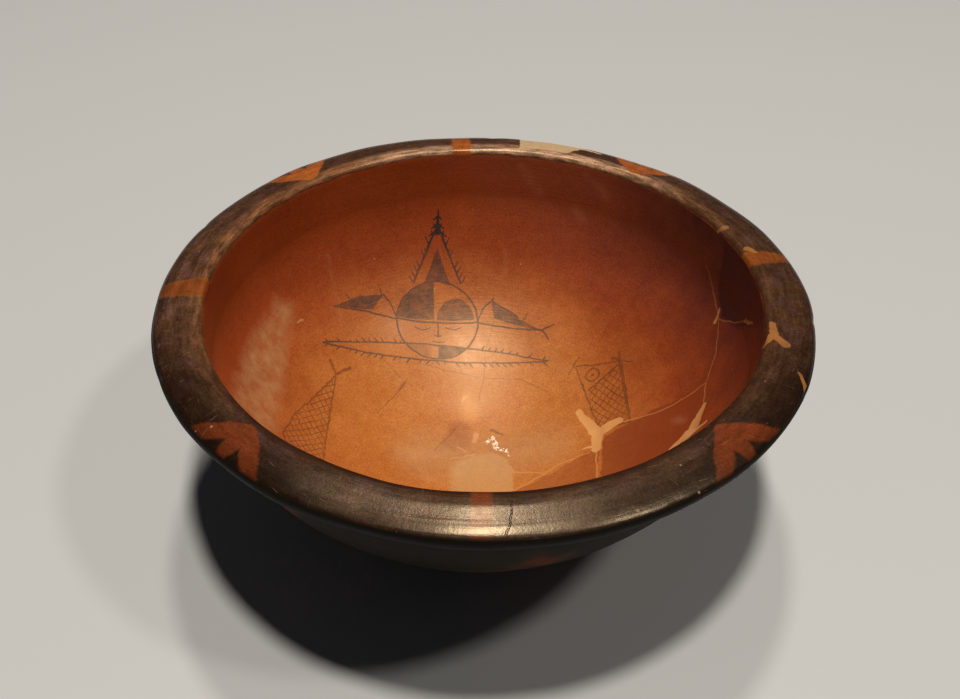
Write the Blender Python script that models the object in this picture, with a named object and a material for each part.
"""A wide fired clay bowl with a rolled-out lip and a small flat base, thrown by hand and slightly uneven.

The origin is the centre of the base, +Z is up, and the picture inside stands upright for a viewer on the -Y side.
Units are metres."""

import math

import bmesh
import bpy
from mathutils import Vector
from mathutils.geometry import interpolate_bezier

# Driving sizes
rim_radius = 0.199  # outermost edge of the lip
crest_radius = 0.172  # highest line of the lip, where it turns into the mouth
height = 0.165
lip_drop = 0.0070  # from the crest to the outermost edge
lip_roll = 0.0109  # from the outermost edge to the lowest line of the roll
lip_undercut = 0.012  # how far the underside of the roll runs back in
lip_hollow = 0.0008  # depth of the shallow groove along the top of the lip
mouth_round = 0.003  # rounding from the crest down into the mouth
shoulder_radius = 0.1745  # outer wall where the belly starts
shoulder_height = 0.130
base_radius = 0.046
wall = 0.0065  # at the shoulder
floor = 0.0090  # in the middle

# The potter's hand, as shares of the belly's own height and width: how far each line runs straight on
outer_share_up = 0.41
outer_share_out = 0.31
inner_share_up = 0.34
inner_share_out = 0.61

# The rim stands slightly off the middle of the base
lean = Vector((0.0048, -0.0045, 0.0))

# Unevenness of the lip's outer edge and of its crest: waves round the rim, cosine share, sine share
outer_waves = {2: (0.0022, -0.0026), 3: (0.0029, 0.0032), 4: (-0.0002, 0.0022)}
crest_waves = {2: (-0.0020, 0.0027), 3: (0.0010, 0.0027), 4: (0.0012, 0.0002)}

# Fineness of the mesh
turns = 90
belly_points = 13
arc_points = 5

clay_colour = (0.27, 0.075, 0.022, 1.0)


def clear_scene():
    for thing in list(bpy.data.objects):
        bpy.data.objects.remove(thing, do_unlink=True)


def arc(centre, radius_r, radius_z, start, end, points):
    """Points of an elliptical arc in the (r, z) plane, from one angle to another in degrees."""
    angles = [math.radians(start + (end - start) * k / points) for k in range(points + 1)]
    return [Vector((centre[0] + radius_r * math.cos(a), centre[1] + radius_z * math.sin(a))) for a in angles]


def belly_line(foot, run_out, shoulder, run_up):
    """Line of a belly from its foot, where it runs outwards, up to the shoulder, where it stands upright."""
    foot_handle = foot + Vector((run_out, 0.0))
    shoulder_handle = shoulder - Vector((0.0, run_up))
    return interpolate_bezier(foot, foot_handle, shoulder_handle, shoulder, belly_points)


def lip_top():
    """Top of the lip, from its outermost edge up and in to the crest, with a shallow groove along it."""
    edge_height = height - lip_drop
    line = arc((crest_radius, edge_height), rim_radius - crest_radius, lip_drop, 0, 90, 2 * arc_points)
    for k, point in enumerate(line):
        point.y -= lip_hollow * math.sin(math.pi * k / (2 * arc_points)) ** 4
    return line


def section():
    """Half section of the bowl as (r, z) points, from the middle of the base, out, up, over and back in."""
    foot = Vector((base_radius, 0.0))
    shoulder = Vector((shoulder_radius, shoulder_height))
    run_out = (shoulder_radius - base_radius) * outer_share_out
    run_up = shoulder_height * outer_share_up
    outer = belly_line(foot, run_out, shoulder, run_up)
    middle = Vector((0.0, floor))
    inner_shoulder = Vector((shoulder_radius - wall, shoulder_height))
    run_out = (shoulder_radius - wall) * inner_share_out
    run_up = (shoulder_height - floor) * inner_share_up
    inner = belly_line(middle, run_out, inner_shoulder, run_up)
    edge_height = height - lip_drop
    underside = edge_height - lip_roll
    roll_radius = rim_radius - lip_undercut
    neck_round = roll_radius - shoulder_radius
    neck = arc((roll_radius, underside - neck_round), neck_round, neck_round, 180, 90, arc_points)
    roll = arc((roll_radius, edge_height), lip_undercut, lip_roll, -90, 0, arc_points)
    top = lip_top()
    mouth = arc((crest_radius, height - mouth_round), mouth_round, mouth_round, 90, 180, arc_points // 2)
    line = [Vector((0.0, 0.0))] + list(outer) + neck + roll[1:] + top[1:] + mouth[1:]
    return line + list(reversed(inner))


def wave(waves, angle):
    return 1.0 + sum(c * math.cos(n * angle) + s * math.sin(n * angle) for n, (c, s) in waves.items())


def by_hand(point):
    """Move a point of the turned shape to where the hand-made one has it."""
    angle = math.atan2(point.y, point.x)
    radius = math.hypot(point.x, point.y)
    up = min(max(point.z / height, 0.0), 1.0)
    outward = min(max((radius - crest_radius) / (rim_radius - crest_radius), 0.0), 1.0)
    uneven = wave(crest_waves, angle) * (1.0 - outward) + wave(outer_waves, angle) * outward
    stretch = 1.0 + (uneven - 1.0) * up**2
    moved = Vector((point.x * stretch, point.y * stretch, point.z))
    return moved + lean * up**2


def clay():
    material = bpy.data.materials.new("burnished_red_clay")
    material.use_nodes = True
    shader = material.node_tree.nodes["Principled BSDF"]
    shader.inputs["Base Color"].default_value = clay_colour
    shader.inputs["Roughness"].default_value = 0.45
    shader.inputs["Metallic"].default_value = 0.0
    return material


def make_bowl():
    work = bmesh.new()
    points = [work.verts.new((p.x, 0.0, p.y)) for p in section()]
    edges = [work.edges.new(pair) for pair in zip(points, points[1:])]
    bmesh.ops.spin(
        work, geom=points + edges, cent=(0, 0, 0), axis=(0, 0, 1), angle=math.tau, steps=turns, use_merge=True
    )
    bmesh.ops.remove_doubles(work, verts=work.verts, dist=1e-6)
    for vertex in work.verts:
        vertex.co = by_hand(vertex.co)
    bmesh.ops.recalc_face_normals(work, faces=work.faces)
    mesh = bpy.data.meshes.new("bowl")
    work.to_mesh(mesh)
    work.free()
    mesh.shade_smooth()
    mesh.materials.append(clay())
    bowl = bpy.data.objects.new("bowl", mesh)
    bpy.context.scene.collection.objects.link(bowl)
    return bowl


clear_scene()
make_bowl()
